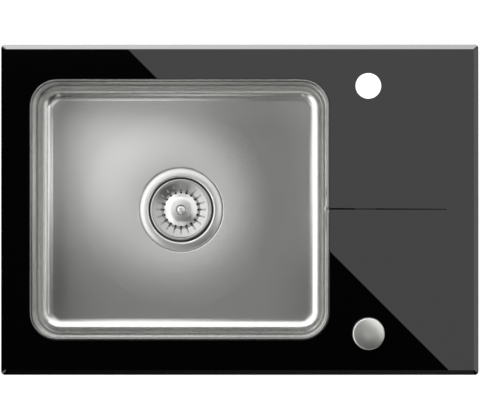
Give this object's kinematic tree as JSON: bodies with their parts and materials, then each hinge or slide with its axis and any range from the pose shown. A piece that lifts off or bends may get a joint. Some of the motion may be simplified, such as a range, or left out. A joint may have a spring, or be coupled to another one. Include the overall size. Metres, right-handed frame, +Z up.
{
  "type": "kitchen sink",
  "caption": "Inset kitchen sink with a black glass top, a bonded steel bowl, a basket waste raised by a turning knob, an overflow, and claw clips that swing out under the worktop.",
  "frame": {"origin": "centre of the glass outline, on the worktop plane under the foam seal", "axes": "+X towards the drainer, +Y towards the tap hole at the back, +Z up"},
  "size_m": [0.65, 0.45, 0.3942],
  "materials": {
    "black_glass": "tempered glass, polished, painted black on the back",
    "bowl_steel": "deep-drawn stainless steel, satin brushed",
    "bright_steel": "pressed stainless steel, polished",
    "knob_steel": "turned steel, finely brushed",
    "zinc_steel": "zinc plated steel",
    "brass": "machined brass",
    "white_plastic": "moulded polypropylene, white",
    "grey_plastic": "moulded polypropylene, grey",
    "black_plastic": "moulded plastic, black",
    "black_rubber": "soft rubber, black",
    "silicone": "silicone sealant, black",
    "foam": "closed-cell foam tape, dark grey",
    "cable_sheath": "extruded cable sheath, black"
  },
  "bodies": {
    "sink": {"body_gasket": "black_rubber", "bowl": "bowl_steel", "bowl_bond": "silicone", "cable_bracket": "zinc_steel", "cable_ferrule": "zinc_steel", "cable_housing": "black_plastic", "clamp_bolt": "zinc_steel", "clip_nuts": "zinc_steel", "control_cable": "cable_sheath", "cup_gasket": "black_rubber", "ferrule_nuts": "zinc_steel", "glass_top": "black_glass", "knob_bush": "brass", "knob_nut": "brass", "knob_seal": "black_rubber", "knob_washer": "black_rubber", "outlet_nut": "grey_plastic", "outlet_spigot": "white_plastic", "outlet_tail": "white_plastic", "outlet_washer": "black_rubber", "overflow_elbow": "white_plastic", "overflow_gasket": "black_rubber", "overflow_nuts": "grey_plastic", "overflow_pipe": "white_plastic", "overflow_rosette": "bright_steel", "overflow_screw": "bright_steel", "overflow_washers": "black_rubber", "shaft_seal": "black_rubber", "stud_plates": "zinc_steel", "waste_body": "white_plastic", "waste_cup": "bright_steel", "worktop_seal": "foam"},
    "knob": {"knob": "knob_steel", "knob_screw": "zinc_steel", "knob_spindle": "zinc_steel", "spindle_circlip": "zinc_steel", "cable_drum": "black_plastic"},
    "crank": {"crank_shaft": "grey_plastic", "crank_lever": "grey_plastic"},
    "wire": {"cable_wire": "zinc_steel"},
    "plunger": {"plunger": "zinc_steel"},
    "basket": {"basket": "bright_steel", "basket_knob": "bright_steel", "basket_stem": "zinc_steel", "basket_seal": "black_rubber"},
    "clip_1": {"clip_1": "zinc_steel"},
    "clip_2": {"clip_2": "zinc_steel"},
    "clip_3": {"clip_3": "zinc_steel"},
    "clip_4": {"clip_4": "zinc_steel"},
    "clip_5": {"clip_5": "zinc_steel"},
    "clip_6": {"clip_6": "zinc_steel"}
  },
  "joints": [
    {"name": "knob_turn", "type": "hinge", "parent": "sink", "child": "knob", "pos_m": [0.175, -0.1685, 0.01], "axis": [0, 0, -1], "range_deg": [0, 90]},
    {"name": "crank_turn", "type": "hinge", "parent": "sink", "child": "crank", "pos_m": [-0.06263, 0, -0.24861], "axis": [0, 1, 0], "range_deg": [0, 28.8]},
    {"name": "wire_pull", "type": "slide", "parent": "sink", "child": "wire", "axis": [1, 0, 0], "range_m": [0, 0.01243]},
    {"name": "plunger_lift", "type": "slide", "parent": "sink", "child": "plunger", "axis": [0, 0, 1], "range_m": [0, 0.00995]},
    {"name": "basket_lift", "type": "slide", "parent": "plunger", "child": "basket", "axis": [0, 0, 1], "range_m": [0, 0.08]},
    {"name": "clip_1_swing", "type": "hinge", "parent": "sink", "child": "clip_1", "pos_m": [-0.247, 0.2005, -0.04], "axis": [0, 0, 1], "range_deg": [0, 90]},
    {"name": "clip_2_swing", "type": "hinge", "parent": "sink", "child": "clip_2", "pos_m": [-0.027, 0.2005, -0.04], "axis": [0, 0, 1], "range_deg": [0, 90]},
    {"name": "clip_3_swing", "type": "hinge", "parent": "sink", "child": "clip_3", "pos_m": [0.23, 0.2005, -0.04], "axis": [0, 0, 1], "range_deg": [0, 90]},
    {"name": "clip_4_swing", "type": "hinge", "parent": "sink", "child": "clip_4", "pos_m": [-0.247, -0.2005, -0.04], "axis": [0, 0, -1], "range_deg": [0, 90]},
    {"name": "clip_5_swing", "type": "hinge", "parent": "sink", "child": "clip_5", "pos_m": [-0.027, -0.2005, -0.04], "axis": [0, 0, -1], "range_deg": [0, 90]},
    {"name": "clip_6_swing", "type": "hinge", "parent": "sink", "child": "clip_6", "pos_m": [0.23, -0.2005, -0.04], "axis": [0, 0, -1], "range_deg": [0, 90]}
  ],
  "couplings": [
    {"joint": "crank_turn", "follows": "knob_turn", "ratio": 0.32},
    {"joint": "wire_pull", "follows": "knob_turn", "m_per_rad": 0.007916},
    {"joint": "plunger_lift", "follows": "knob_turn", "m_per_rad": 0.0063328}
  ]
}
